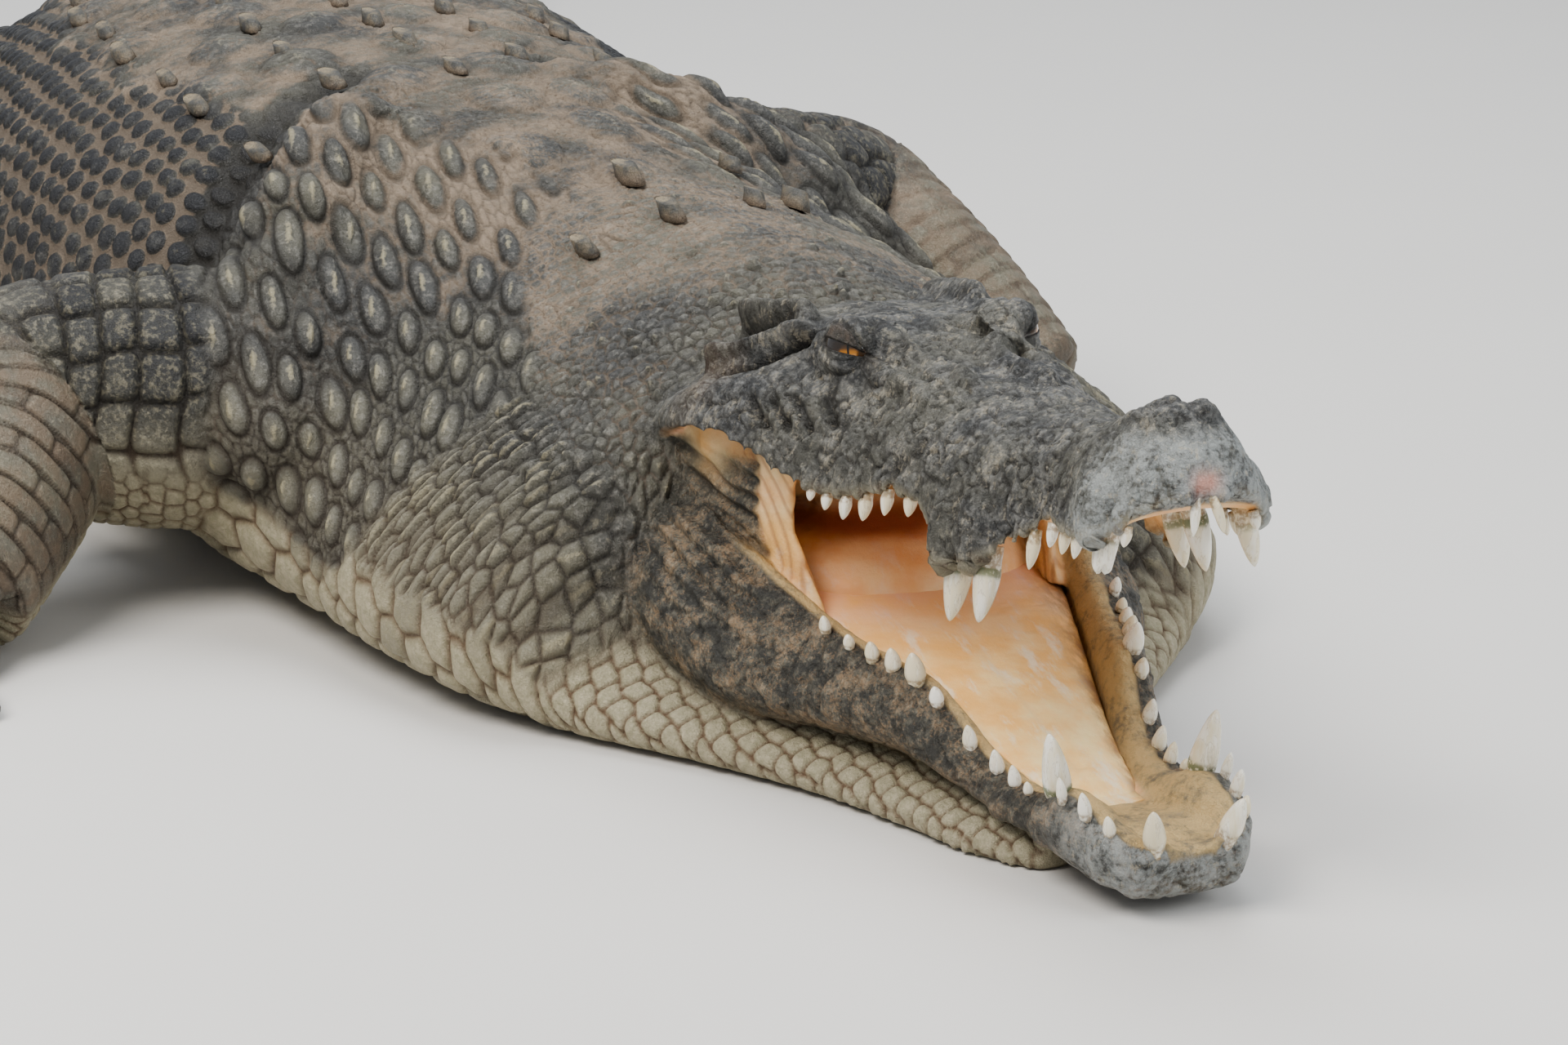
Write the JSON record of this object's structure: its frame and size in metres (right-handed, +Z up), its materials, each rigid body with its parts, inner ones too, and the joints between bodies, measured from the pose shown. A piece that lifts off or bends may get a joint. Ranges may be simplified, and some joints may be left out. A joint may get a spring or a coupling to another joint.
{
  "type": "saltwater crocodile",
  "caption": "Life-size saltwater crocodile lying on its belly with its jaws open, as a still museum model.",
  "frame": {"origin": "on the floor under the middle of the animal's box", "axes": "+X is the way the snout points, +Y is the animal's left, +Z is up"},
  "size_m": [4.2666, 1.8078, 0.435],
  "materials": {
    "hide": "matte",
    "throat_skin": "matte",
    "mouth": "satin",
    "eye": "gloss",
    "claw": "satin"
  },
  "bodies": {
    "root": {"chest": "hide", "claw_foot_left_1": "claw", "claw_foot_left_2": "claw", "claw_foot_left_3": "claw", "claw_foot_right_1": "claw", "claw_foot_right_2": "claw", "claw_foot_right_3": "claw", "claw_hand_left_1": "claw", "claw_hand_left_2": "claw", "claw_hand_left_3": "claw", "claw_hand_right_1": "claw", "claw_hand_right_2": "claw", "claw_hand_right_3": "claw", "eye_left": "eye", "eye_right": "eye", "foot_left": "hide", "foot_right": "hide", "forearm_left": "hide", "forearm_right": "hide", "hand_left": "hide", "hand_right": "hide", "head": "hide", "lower_jaw": "hide", "mouth_corner_left": "mouth", "mouth_corner_right": "mouth", "neck": "hide", "pelvis": "hide", "shank_left": "hide", "shank_right": "hide", "tail_middle": "hide", "tail_rear": "hide", "tail_root": "hide", "tail_tip": "hide", "thigh_left": "hide", "thigh_right": "hide", "throat": "throat_skin", "tongue": "mouth", "trunk": "hide", "upper_arm_left": "hide", "upper_arm_right": "hide"}
  },
  "joints": []
}
